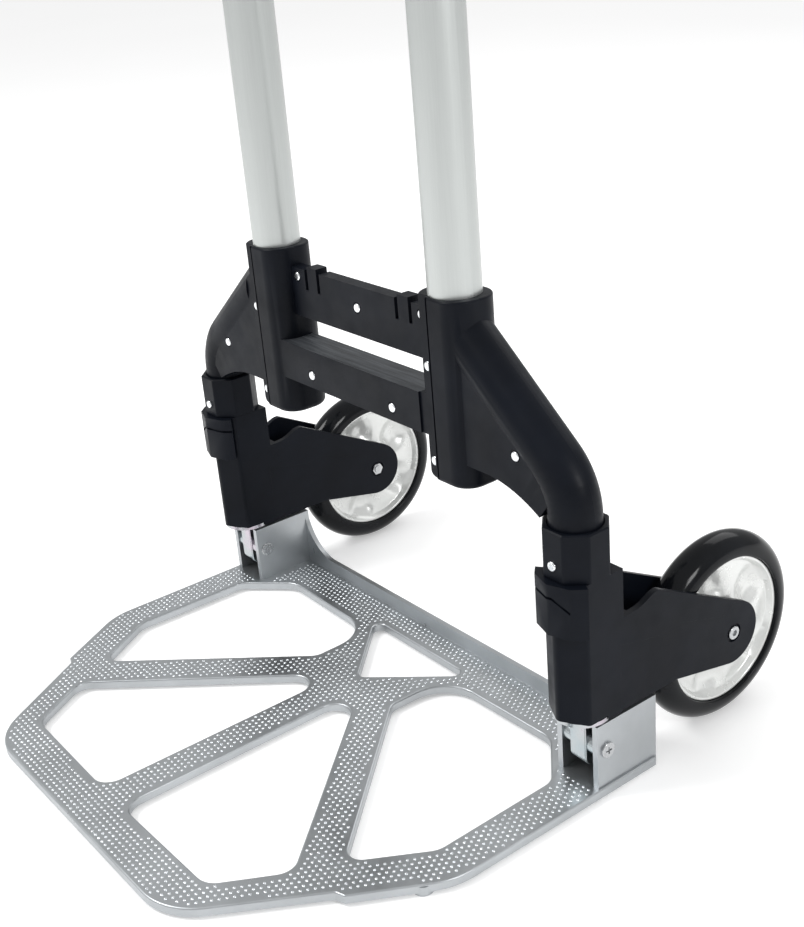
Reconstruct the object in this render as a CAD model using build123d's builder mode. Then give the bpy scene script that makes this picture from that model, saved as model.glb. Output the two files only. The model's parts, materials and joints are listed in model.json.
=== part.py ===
"""Folding hand truck: cast toe plate, swivelling wheel brackets, riveted frame, telescoping handle.

Millimetres. +Z is up, the toe plate reaches towards -Y and the wheels towards +Y. The pieces are
drawn about the plane of the four upright tubes (y = 0), with the floor at z = 0 and the centre
plane at x = 0. keep() then slides each one along Y, so that the origin of the written parts lies
on the floor in the middle of the standing truck.
"""
import math
import os
from build123d import *

# ---- toe plate ------------------------------------------------------------------------------
plate_width = 395.0
plate_top = 7.5                # height of the load face above the floor
plate_thick = 5.5
plate_front = 243.0            # front edge, ahead of the uprights
plate_rear = 44.0              # rear edge, behind the uprights
plate_shell = 3.2              # skin and rim left round the hollow underside
lip_height = 17.5              # top of the upright lip along the rear edge
lip_thick = 3.5
lip_ramp = 30.0                # length over which the lip sweeps up to an ear
edge_round = 1.2
pad_radius = 6.0               # low round pads that the front of the plate stands on
pad_places = ((0.0, 14.0), (110.0, 20.0), (184.0, 118.0))   # sideways, and back from the front edge

# ---- ears and the fold hinge ----------------------------------------------------------------
hinge_y = 3.5
hinge_z = 31.5
ear_front = -4.0
ear_top = 49.5
ear_wall = 4.0
ear_width = 33.0
ear_ledge = 1.8                # rim of the plate that shows outside an ear
ear_round = 6.0
barrel_radius = 4.0
barrel_bore = 2.55
screw_radius = 2.5
hinge_head_radius = 4.4
hinge_head_thick = 1.6
hinge_gap = 0.05               # radial running clearance on the hinge barrel

# ---- uprights -------------------------------------------------------------------------------
post_inset = 18.0              # swivel posts, in from the plate's sides
arm_reach = 89.5               # from a main tube out to its post
post_x = plate_width / 2 - post_inset
tube_x = post_x - arm_reach
post_radius = 12.0
post_wall = 2.0
foot_disc_radius = 17.0
foot_disc_bottom = 51.2
foot_disc_top = 53.7
tongue_width = 13.0
tongue_depth = 15.0
tongue_drop = 15.0             # rounded end of the tongue below the hinge
fit = 0.05                     # radial clearance of a part fixed in or on another

# ---- wheel brackets -------------------------------------------------------------------------
bracket_bottom = 54.0
bracket_top = 143.5
bracket_half = 17.0            # half width, and half the hexagon across its flats
bracket_belt = 112.0           # underside of the wide upper part
bracket_back = 18.0            # rear face of the upper part
tab_radius = 23.4
tab_from, tab_to = 215.0, 330.0
swivel_gap = 0.06
bush_wall = 1.6
bush_length = 16.0
fork_gap = 13.2                # half width of the space for the wheel
fork_back = 24.0               # where the space for the wheel begins
arm_underside = 51.4           # just clears the ear tops half way through the fold
arm_crest_y, arm_crest_z = 47.0, 118.5
arm_root_z = 113.0
arm_flat_end = 62.0
arm_end_radius = 20.5
panel_depth = 1.0
panel_front = 15.0
groove_width = 1.6             # slanted groove round the front of the tab
groove_depth = 1.0

# ---- wheels ---------------------------------------------------------------------------------
wheel_radius = 61.0
wheel_y = wheel_radius + 52.5
tyre_half = 11.8
rim_radius = wheel_radius - 14.0
rim_half = 9.6
rim_wall = 4.0
web_thick = 4.0
boss_radius = 11.5
boss_half = 12.4
bearing_radius = 6.0
axle_radius = 3.0
axle_gap = 0.05
spokes = 5
spoke_width = 18.0
axle_head_radius = 4.4
axle_head_thick = 1.8
axle_recess_radius = 6.0
axle_recess = 1.2
thrust_gap = 0.03              # clearance each side of an axle washer

# ---- collars, arms and sleeves --------------------------------------------------------------
collar_flats = 36.0
collar_bottom = 144.0
collar_top = 173.0
collar_floor = 3.5
collar_rivet_z = 152.5
arm_radius = 15.0
arm_wall = 2.94
arm_slope = 40.0               # degrees down from the sleeve
arm_bend_z = 194.0             # where the sloping centre line meets the upright one
arm_bend_radius = 38.0
gusset_half = 13.2
gusset_low = 188.0
sleeve_width = 41.0
sleeve_depth = 35.0
sleeve_round = 14.0
sleeve_bottom = 172.0
sleeve_top = 284.0
sleeve_floor = 6.0
ledge_inset = 7.0
ledge_y = 14.0
rib_width = 1.2                # upright rib between a ledge and the groove beside it
rib_groove = 1.2
rib_groove_depth = 1.0

# ---- cross bars -----------------------------------------------------------------------------
upper_bar_low, upper_bar_high = 239.8, 272.0
upper_bar_half = 4.3
lower_bar_low, lower_bar_high = 198.4, 224.0
lower_bar_front, lower_bar_back = 15.1, 7.3
bar_wall = 3.2
slit_width = 3.0
slit_depth = 13.0
slit_places = (40.0, 53.0)
hook_rise = 2.5

# ---- rivets ---------------------------------------------------------------------------------
rivet_radius = 2.0
rivet_head = 3.0
rivet_rise = 1.4
rivet_sink = 0.7               # round seat that a rivet head sits in

# ---- tubes and telescope --------------------------------------------------------------------
tube_radius = 15.5
tube_wall = 1.4
tube_top = 640.0
inner_radius = 13.4
inner_wall = 1.4
guide_flange = 2.0
guide_length = 22.0
slide_gap = 0.08

# ---- lock housing ---------------------------------------------------------------------------
housing_low = tube_top - 48.0
housing_high = tube_top + 6.0
inner_bottom = housing_low - 32.0
housing_half = 13.0
housing_wall = 3.0
pin_z = housing_low + 20.0
pin_radius = 3.5
pin_travel = 4.2
pin_tip = tube_x - inner_radius - 0.3      # just clear of the inner tube, so the handle can slide
button_travel = 6.0
button_half_width = 17.0
button_half_depth = 7.0
button_rise = 9.0
button_skirt = housing_high - 14.0
peg_radius = 2.0
peg_gap = 0.35
spring_radius = 4.2
spring_wire = 0.55
spring_turns = 6
peg_x = 12.0
peg_z = housing_low + 24.0
housing_screw_x = 67.0
cross_low = housing_low + 5.0
cross_high = housing_high - 4.0

# ---- handle ---------------------------------------------------------------------------------
grip_z = 984.0
handle_low = grip_z - 52.0
handle_radius = 16.0
handle_bend = 30.0
inner_top = grip_z - handle_bend - 1.0     # just below the elbow
slide_travel = handle_low - housing_high - 6.0
grip_radius = 18.6
grip_half = 52.0
grip_gap = 0.1
handle_wall = 3.5
handle_screw_z = handle_low + 16.0
handle_screw_x = 56.2          # between the grip's end and the elbow
small_screw_radius = 1.6
small_head_radius = 3.2
small_head_sink = 1.8

SIDES = (1, -1)
ear_outer = plate_width / 2 - ear_ledge
plate_low = plate_top - plate_thick
ear_inner = ear_outer - ear_width
sleeve_bore = tube_radius + fit
slot_inner = ear_inner + ear_wall
slot_outer = ear_outer - ear_wall
origin_shift = (plate_front - wheel_y - wheel_radius) / 2


def keep(solid, name):
    """Slide a finished piece to the truck's origin, label it and write it as its own STEP file."""
    placed = solid.moved(Location((0, origin_shift, 0)))
    placed.label = name
    export_step(placed, f"parts/{name}.step")


def flip(solid):
    """The same piece for the other side of the truck."""
    return mirror(solid, about=Plane.YZ)


def pair(solid):
    """Both sides' pieces together, as separate solids of one group."""
    return Compound(children=list(solid.solids()) + list(flip(solid).solids()))


def tangent_point(point, centre, radius, side):
    """Where a line from a point touches a circle; side is +1 or -1."""
    dx, dy = point[0] - centre[0], point[1] - centre[1]
    angle = math.atan2(dy, dx) + side * math.acos(radius / math.hypot(dx, dy))
    return (centre[0] + radius * math.cos(angle), centre[1] + radius * math.sin(angle))


def rounded(corners):
    """A flat face inside a closed outline of (x, y, radius) corners."""
    with BuildSketch() as face:
        with BuildLine():
            FilletPolyline(*[(x, y) for x, y, _ in corners], radius=[r for _, _, r in corners], close=True)
        make_face()
    return face.sketch


def other_side(corners):
    """The same outline on the other side of the centre plane."""
    return [(-x, y, r) for x, y, r in reversed(corners)]


os.makedirs("parts", exist_ok=True)

# ---- toe plate: corners as (x, y, rounding) of its right half --------------------------------
side_x = plate_width / 2
shoulder_y = 130.0 - plate_front
notch_y = 79.0 - plate_front
outline = [
    (side_x, plate_rear, 3.0),
    (side_x, shoulder_y, 45.0),
    (side_x - 31.0, notch_y, 2.0),
    (side_x - 37.0, notch_y - 2.0, 3.0),
    (side_x - 87.0, -plate_front, 42.0),
]
side_window = [
    (side_x - 53.3, shoulder_y - 34.5, 8.0),
    (side_x - 25.4, shoulder_y + 9.0, 14.0),
    (side_x - 26.5, -18.0, 12.0),
    (side_x - 57.5, 11.0, 16.0),
    (43.0, 9.0, 27.0),
    (42.5, -36.6, 10.0),
]
front_window = [
    (side_x - 66.0, 69.7 - plate_front, 12.0),
    (12.4, -40.2, 11.5),
    (12.4, 27.5 - plate_front, 12.0),
    (side_x - 91.1, 29.1 - plate_front, 14.0),
]
rear_window = [(52.0, 21.3, 5.0), (-52.0, 21.3, 5.0), (0.0, -32.6, 5.0)]
windows = [side_window, front_window, rear_window, other_side(side_window), other_side(front_window)]
plate_face = rounded(outline + other_side(outline))
window_faces = [rounded(window) for window in windows]
lip_end = ear_inner + 0.5
ear_walls = (ear_inner, slot_outer, -ear_inner - ear_wall, -ear_outer)

with BuildSketch() as lip_face:
    with BuildLine():
        Polyline((-lip_end, ear_top - 3), (-lip_end, plate_low), (lip_end, plate_low), (lip_end, ear_top - 3))
        ThreePointArc((lip_end, ear_top - 3), (lip_end - lip_ramp / 3, lip_height + 10),
                      (lip_end - lip_ramp, lip_height))
        Line((lip_end - lip_ramp, lip_height), (lip_ramp - lip_end, lip_height))
        ThreePointArc((lip_ramp - lip_end, lip_height), (lip_ramp / 3 - lip_end, lip_height + 10),
                      (-lip_end, ear_top - 3))
    make_face()

with BuildPart() as toe_plate:
    with BuildSketch(Plane.XY.offset(plate_low)):
        add(plate_face)
    extrude(amount=plate_thick)
    with BuildSketch(Plane.XY.offset(plate_low)):
        add(window_faces)
    extrude(amount=plate_thick, mode=Mode.SUBTRACT)
    fillet(faces().sort_by(Axis.Z)[-1].edges(), edge_round)
    # hollow underside: the skin and a wall round the outline and every window stay
    with BuildSketch(Plane.XY.offset(plate_low)):
        add(plate_face)
        offset(amount=-plate_shell, mode=Mode.REPLACE)
        for window in window_faces:
            add(offset(window, amount=plate_shell, mode=Mode.PRIVATE), mode=Mode.SUBTRACT)
    extrude(amount=plate_thick - plate_shell, mode=Mode.SUBTRACT)
    with BuildSketch():
        with Locations([(side * x, y - plate_front) for x, y in pad_places for side in SIDES]):
            Circle(pad_radius)
    extrude(amount=plate_top - plate_shell / 2)
    # upright lip along the rear edge, sweeping up to the inner ear walls
    with BuildSketch(Plane.XZ.offset(-plate_rear)):
        add(lip_face.sketch)
    extrude(amount=lip_thick)
    # clevis ears: two walls, a rear wall and a solid seat under each swivel post
    for x_low in ear_walls:
        with BuildSketch(Plane.YZ.offset(x_low)):
            with BuildLine():
                Polyline((ear_front, 0), (plate_rear, 0), (plate_rear, ear_top), (ear_front, ear_top),
                         close=True)
            make_face()
            fillet(vertices().sort_by(Axis.Y)[:2].sort_by(Axis.Z)[-1], ear_round)
        extrude(amount=ear_wall)
    for side in SIDES:
        with Locations((side * (ear_inner + ear_width / 2), plate_rear - lip_thick / 2, ear_top / 2)):
            Box(ear_width, lip_thick, ear_top)
        with Locations(Plane.YZ.offset(side * (ear_inner + ear_width / 2))):
            with Locations((hinge_y, hinge_z)):
                Cylinder(barrel_radius + fit, ear_width + 2, mode=Mode.SUBTRACT)

keep(toe_plate.part, "toe_plate")

# ---- fold hinge: screw, barrel nut and washers through each pair of ears ---------------------
# each is made for the right side; its mirror image joins it as a second solid
with BuildPart() as barrel:
    with BuildSketch(Plane.YZ.offset(ear_inner)):
        with Locations((hinge_y, hinge_z)):
            Circle(barrel_radius)
            Circle(barrel_bore, mode=Mode.SUBTRACT)
    extrude(amount=ear_width)
    with BuildSketch(Plane.YZ.offset(ear_inner)):
        with Locations((hinge_y, hinge_z)):
            Circle(hinge_head_radius + 0.6)
    extrude(amount=-hinge_head_thick)
    fillet(faces().sort_by(Axis.X)[0].edges(), 0.6)
keep(pair(barrel.part), "hinge_barrels")

with BuildPart() as hinge_screw:
    with BuildSketch(Plane.YZ.offset(ear_outer)):
        with Locations((hinge_y, hinge_z)):
            Circle(hinge_head_radius + 0.6)
    extrude(amount=hinge_head_thick)
    fillet(faces().sort_by(Axis.X)[-1].edges(), 0.6)
    with BuildSketch(Plane.YZ.offset(ear_outer + hinge_head_thick)):
        with Locations((hinge_y, hinge_z)):
            Rectangle(4.6, 1.1)
            Rectangle(1.1, 4.6)
    extrude(amount=-1.0, mode=Mode.SUBTRACT)
    with BuildSketch(Plane.YZ.offset(ear_outer)):
        with Locations((hinge_y, hinge_z)):
            Circle(screw_radius)
    extrude(amount=-(ear_width - 8.0))
keep(pair(hinge_screw.part), "hinge_screws")

tongue_inner = post_x - tongue_width / 2
tongue_outer = post_x + tongue_width / 2
with BuildPart() as washers:
    for x_low, x_high in ((slot_inner, tongue_inner), (tongue_outer, slot_outer)):
        with BuildSketch(Plane.YZ.offset(x_low + fit)):
            with Locations((hinge_y, hinge_z)):
                Circle(barrel_radius + 2.6)
                Circle(barrel_radius + fit, mode=Mode.SUBTRACT)
        extrude(amount=x_high - x_low - 2 * fit)
keep(pair(washers.part), "hinge_washers")

# ---- foot: the tongue between the ears, the disc under the bracket and the spigot above -------
with BuildPart() as foot:
    with BuildSketch(Plane.YZ.offset(tongue_inner)):
        with BuildLine():
            half = tongue_depth / 2
            Polyline((hinge_y + half, hinge_z), (hinge_y + half, foot_disc_bottom),
                     (hinge_y - half, foot_disc_bottom), (hinge_y - half, hinge_z))
            low = hinge_z - tongue_drop
            Line((hinge_y - half, hinge_z), (hinge_y - half, low + half))
            ThreePointArc((hinge_y - half, low + half), (hinge_y, low), (hinge_y + half, low + half))
            Line((hinge_y + half, low + half), (hinge_y + half, hinge_z))
        make_face()
    extrude(amount=tongue_width)
    fillet(edges().filter_by(Axis.Z), 1.0)
    with BuildSketch(Plane.XY.offset(foot_disc_bottom)):
        with Locations((post_x, 0)):
            Circle(foot_disc_radius)
    extrude(amount=foot_disc_top - foot_disc_bottom)
    with BuildSketch(Plane.XY.offset(foot_disc_top)):
        with Locations((post_x, 0)):
            Circle(post_radius - post_wall - fit)
    extrude(amount=30.0)
    with Locations(Plane.YZ.offset(post_x)):
        with Locations((hinge_y, hinge_z)):
            Cylinder(barrel_radius + hinge_gap, tongue_width + 2, mode=Mode.SUBTRACT)

# ---- swivel post: the steel tube that joins the foot to the frame's arm ----------------------
post_low = foot_disc_top
post_high = arm_bend_z - 4.0
with BuildPart() as post:
    with BuildSketch(Plane.XY.offset(post_low)):
        with Locations((post_x, 0)):
            Circle(post_radius)
            Circle(post_radius - post_wall, mode=Mode.SUBTRACT)
    extrude(amount=post_high - post_low)
    with Locations(Plane.XZ):
        with Locations((post_x, collar_rivet_z)):
            Cylinder(rivet_radius + fit, 4 * post_radius, mode=Mode.SUBTRACT)

# ---- wheel bracket ---------------------------------------------------------------------------
end_centre = (wheel_y, wheel_radius)
low_start = (arm_flat_end, arm_underside)
crest = (arm_crest_y, arm_crest_z)
low_touch = tangent_point(low_start, end_centre, arm_end_radius, 1)
high_touch = tangent_point(crest, end_centre, arm_end_radius, -1)
arm_tip = (wheel_y + arm_end_radius, wheel_radius)
bush_radius = post_radius + swivel_gap + bush_wall
bracket_bore = bush_radius + fit
bush_seat = bush_length + 0.5

with BuildSketch() as arm_side:
    with BuildLine():
        Polyline((0, arm_underside), low_start, low_touch)
        ThreePointArc(low_touch, arm_tip, high_touch)
        Line(high_touch, crest)
        Spline(crest, (crest[0] - 13, arm_root_z + 1.6), (crest[0] - 27, arm_root_z),
               tangents=[(-0.94, 0.1), (-1, 0)])
        Polyline((crest[0] - 27, arm_root_z), (0, arm_root_z), (0, arm_underside))
    make_face()

with BuildSketch() as arm_panel:
    with BuildLine():
        Polyline((panel_front, arm_underside - 1), (panel_front, 96.0), (31, 91.5), (47, 88.7), (64, 89.5),
                 (102, 77.5), (113, 82.0), (120, 90.0), (140, 90.0), (140, 30.0),
                 (panel_front, 30.0), close=True)
    make_face()

tab_corners = [(post_x + tab_radius * math.cos(math.radians(a)), tab_radius * math.sin(math.radians(a)))
               for a in (tab_from, 234.0, 270.0, 306.0, tab_to)]
groove_line = [(-tab_radius, bracket_top - 8.5), (2.5, bracket_top - 7.4), (13.5, bracket_top - 14.2)]
with BuildPart() as tab_groove:
    with BuildSketch(Plane.XZ):
        with BuildLine():
            Polyline([(post_x + x, z) for x, z in groove_line]
                     + [(post_x + x, z - groove_width) for x, z in reversed(groove_line)], close=True)
        make_face()
    extrude(amount=2 * tab_radius)
    with BuildSketch(Plane.XY.offset(bracket_belt)):
        with Locations((post_x, 0)):
            Circle(tab_radius * math.cos(math.radians(18)) - groove_depth)
    extrude(amount=bracket_top - bracket_belt, mode=Mode.SUBTRACT)

hexagon_radius = bracket_half / math.cos(math.radians(30))
with BuildPart() as bracket:
    with BuildSketch(Plane.XY.offset(bracket_bottom)):
        with Locations((post_x, 0)):
            RegularPolygon(hexagon_radius, 6, rotation=30)
    extrude(amount=bracket_top - bracket_bottom)
    fillet(edges().filter_by(Axis.Z).sort_by(Axis.Y)[0], 5.0)
    fillet(edges().filter_by(Axis.Z).sort_by(Axis.Y)[2:4], 3.0)
    # the wide upper part: a square back and a tab round the front
    with BuildSketch(Plane.XY.offset(bracket_belt)):
        with Locations((post_x, bracket_back / 2)):
            Rectangle(2 * bracket_half, bracket_back)
    extrude(amount=bracket_top - bracket_belt)
    with BuildSketch(Plane.XY.offset(bracket_belt)):
        with BuildLine():
            Polyline((post_x, 0), *tab_corners, (post_x, 0))
        make_face()
    extrude(amount=bracket_top - bracket_belt)
    # arms on both sides of the wheel
    with BuildSketch(Plane.YZ.offset(post_x - bracket_half)):
        add(arm_side.sketch)
    extrude(amount=2 * bracket_half)
    with BuildSketch(Plane.XY.offset(arm_underside + 3.4)):
        with Locations((post_x, fork_back + 100)):
            Rectangle(2 * fork_gap, 200)
    extrude(amount=bracket_top - arm_underside, mode=Mode.SUBTRACT)
    with BuildSketch(Plane.XY.offset(arm_underside - 20)):
        with Locations((post_x, arm_flat_end - 14 + 100)):
            Rectangle(2 * fork_gap, 200)
    extrude(amount=40, mode=Mode.SUBTRACT)
    with BuildSketch(Plane.XY.offset(arm_underside - 1)):
        with Locations((post_x, 0)):
            Circle(foot_disc_radius + 0.5)
    extrude(amount=bracket_bottom - arm_underside + 1, mode=Mode.SUBTRACT)
    # sunk panels on the outer faces of the arms
    for x_face, inward in ((post_x + bracket_half, -1), (post_x - bracket_half, 1)):
        with BuildSketch(Plane.YZ.offset(x_face)):
            add(arm_panel.sketch)
        extrude(amount=inward * panel_depth, mode=Mode.SUBTRACT)
    # bore for the post, seats for its bushes, and the axle hole
    with Locations((post_x, 0, (bracket_bottom + bracket_top) / 2)):
        Cylinder(post_radius + 0.6, bracket_top - bracket_bottom + 8, mode=Mode.SUBTRACT)
    for z_low in (bracket_bottom - 2, bracket_top - bush_seat):
        with BuildSketch(Plane.XY.offset(z_low)):
            with Locations((post_x, 0)):
                Circle(bracket_bore)
        extrude(amount=bush_seat + 2, mode=Mode.SUBTRACT)
    with Locations(Plane.YZ.offset(post_x)):
        with Locations((wheel_y, wheel_radius)):
            Cylinder(axle_radius + fit, 4 * bracket_half, mode=Mode.SUBTRACT)
    for outward in SIDES:
        with BuildSketch(Plane.YZ.offset(post_x + outward * (bracket_half - panel_depth))):
            with Locations((wheel_y, wheel_radius)):
                Circle(axle_recess_radius)
        extrude(amount=-outward * axle_recess, mode=Mode.SUBTRACT)
    add(tab_groove.part, mode=Mode.SUBTRACT)

with BuildPart() as bushes:
    for z_low in (bracket_bottom, bracket_top - bush_length):
        with BuildSketch(Plane.XY.offset(z_low)):
            with Locations((post_x, 0)):
                Circle(bush_radius)
                Circle(post_radius + swivel_gap, mode=Mode.SUBTRACT)
        extrude(amount=bush_length)

# ---- wheel: hub with five broad spokes, glossy tyre, bearing bush ------------------------------
axle_plane = Plane(origin=(post_x, wheel_y, wheel_radius), x_dir=(0, 1, 0), z_dir=(1, 0, 0))
with BuildPart() as hub:
    with BuildSketch(Plane(axle_plane.origin, x_dir=(0, 1, 0), z_dir=(0, 0, 1))):
        # section through the hub: x is the radius, y is towards the inside of the truck
        with BuildLine():
            Polyline((bearing_radius + fit, -boss_half), (boss_radius, -boss_half),
                     (boss_radius + 1.5, -web_thick),
                     (rim_radius - rim_wall - 3, -web_thick / 2), (rim_radius - rim_wall, -rim_half),
                     (rim_radius, -rim_half), (rim_radius, rim_half), (rim_radius - rim_wall, rim_half),
                     (rim_radius - rim_wall - 3, web_thick / 2), (boss_radius + 1.5, web_thick),
                     (boss_radius, boss_half), (bearing_radius + fit, boss_half), close=True)
        make_face()
    revolve(axis=Axis((post_x, wheel_y, wheel_radius), (1, 0, 0)))
    for out in SIDES:
        with BuildSketch(axle_plane):
            with PolarLocations((boss_radius + rim_radius - 3) / 2, spokes):
                Rectangle(rim_radius - boss_radius - 1, spoke_width)
        extrude(amount=out * (rim_half - 2.2))

tyre_centre = wheel_radius - tyre_half
with BuildPart() as tyre:
    with BuildSketch(Plane(axle_plane.origin, x_dir=(0, 1, 0), z_dir=(0, 0, 1))):
        with Locations((tyre_centre, 0)):
            Circle(tyre_half)
        with Locations((rim_radius + fit - 25, 0)):
            Rectangle(50, 60, mode=Mode.SUBTRACT)
    revolve(axis=Axis((post_x, wheel_y, wheel_radius), (1, 0, 0)))

with BuildPart() as bearing:
    with BuildSketch(axle_plane.offset(-boss_half)):
        Circle(bearing_radius)
        Circle(axle_radius + axle_gap, mode=Mode.SUBTRACT)
    extrude(amount=2 * boss_half)

# ---- axle: bolt, nut and the thrust washers beside the hub ------------------------------------
head_seat = bracket_half - panel_depth - axle_recess
with BuildPart() as axle_bolt:
    with BuildSketch(axle_plane.offset(head_seat)):
        Circle(axle_head_radius)
    extrude(amount=axle_head_thick)
    fillet(faces().sort_by(Axis.X)[-1].edges(), 0.7)
    with BuildSketch(axle_plane.offset(head_seat + axle_head_thick)):
        RegularPolygon(0.5 * axle_head_radius, 6)
    extrude(amount=-0.6 * axle_head_thick, mode=Mode.SUBTRACT)
    with BuildSketch(axle_plane.offset(head_seat)):
        Circle(axle_radius)
    extrude(amount=-2 * head_seat - 2.6)

with BuildPart() as axle_nut:
    with BuildSketch(axle_plane.offset(-head_seat)):
        RegularPolygon(axle_head_radius + 0.4, 6)
        Circle(axle_radius + fit, mode=Mode.SUBTRACT)
    extrude(amount=-axle_head_thick)

with BuildPart() as axle_washers:
    for out in SIDES:
        with BuildSketch(axle_plane.offset(out * (fork_gap - thrust_gap))):
            Circle(bearing_radius + 1.5)
            Circle(axle_radius + fit, mode=Mode.SUBTRACT)
        extrude(amount=-out * (fork_gap - boss_half - 2 * thrust_gap))

# ---- collar above the bracket ------------------------------------------------------------------
octagon_radius = collar_flats / 2 / math.cos(math.radians(22.5))
with BuildPart() as collar:
    with BuildSketch(Plane.XY.offset(collar_bottom)):
        with Locations((post_x, 0)):
            RegularPolygon(octagon_radius, 8, rotation=22.5)
    extrude(amount=collar_top - collar_bottom)
    fillet(edges().filter_by(Axis.Z), 2.0)
    with Locations((post_x, 0, (collar_bottom + collar_top) / 2)):
        Cylinder(post_radius + fit, 60, mode=Mode.SUBTRACT)
    with BuildSketch(Plane.XY.offset(collar_bottom + collar_floor)):
        with Locations((post_x, 0)):
            Circle(arm_radius + fit)
    extrude(amount=40, mode=Mode.SUBTRACT)
    chamfer(faces().sort_by(Axis.Z)[-1].edges(), 0.8)
    with Locations(Plane.XZ):
        with Locations((post_x, collar_rivet_z)):
            Cylinder(rivet_radius + fit, 80, mode=Mode.SUBTRACT)

for piece, name in ((foot, "foot"), (post, "post"), (bracket, "bracket"), (bushes, "swivel_bushes"),
                    (hub, "wheel_hub"), (tyre, "tyre"), (bearing, "wheel_bearing"),
                    (axle_bolt, "axle_bolt"), (axle_nut, "axle_nut"), (axle_washers, "axle_washers"),
                    (collar, "collar")):
    keep(piece.part, f"right_{name}")
    keep(flip(piece.part), f"left_{name}")

# ---- riveted frame: sleeves, sloping arms, gussets and two cross bars --------------------------
arm_start = collar_bottom + collar_floor + 0.3
arm_end_z = arm_bend_z + (post_x - tube_x) * math.tan(math.radians(arm_slope))
tube_bottom = sleeve_bottom + sleeve_floor
ledge_x = ledge_inset + (sleeve_width / 2 - ledge_inset) / 2
groove_x = ledge_x - (sleeve_width / 2 - ledge_inset + 1) / 2 - rib_width - rib_groove / 2
ledge_rivet_x = 10.5
gusset_rivet = (148.3, 206.0)
upper_rivets = ((0.0, 257.8), (63.3, 266.5), (-63.3, 266.5))
lower_rivet = (42.0, 207.0)
ledge_rivet_z = (181.5 + 2.0, 242.0)

# every rivet of the frame: x, z, front seat, rear face
rivets = [(x, z, upper_bar_half - rivet_sink, upper_bar_half) for x, z in upper_rivets]
for side in SIDES:
    rivets.append((side * lower_rivet[0], lower_rivet[1], lower_bar_front - rivet_sink, lower_bar_back))
    rivets.append((side * gusset_rivet[0], gusset_rivet[1], gusset_half - rivet_sink, gusset_half))
sunk_rivets = list(rivets)
for side in SIDES:
    for z in ledge_rivet_z:
        rivets.append((side * tube_x - ledge_rivet_x, z, ledge_y, ledge_y))

with BuildSketch() as gusset_face:
    with BuildLine():
        inner = post_x - arm_radius
        Polyline((inner + 1, collar_top + 2), (post_x, arm_bend_z), (tube_x, arm_end_z), (tube_x, gusset_low),
                 (tube_x + 36, gusset_low))
        ThreePointArc((tube_x + 36, gusset_low), (inner - 14, gusset_low - 5.5), (inner + 1, collar_top + 2))
    make_face()

with BuildLine(Plane.XZ) as arm_line:
    FilletPolyline((post_x, arm_start), (post_x, arm_bend_z), (tube_x, arm_end_z), radius=arm_bend_radius)

with BuildPart() as arm:
    with BuildSketch(Plane.XY.offset(arm_start)):
        with Locations((post_x, 0)):
            Circle(arm_radius)
    sweep(path=arm_line.line)
    with BuildSketch(Plane.XZ):
        add(gusset_face.sketch)
    extrude(amount=gusset_half, both=True)
    # the arm is a tube, and the post stands in its lower end
    with BuildSketch(Plane.XY.offset(arm_start)):
        with Locations((post_x, 0)):
            Circle(arm_radius - arm_wall)
    sweep(path=arm_line.line, mode=Mode.SUBTRACT)
    with Locations((post_x, 0, (arm_start + post_high + 1) / 2)):
        Cylinder(post_radius + fit, post_high + 1 - arm_start, mode=Mode.SUBTRACT)

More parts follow.
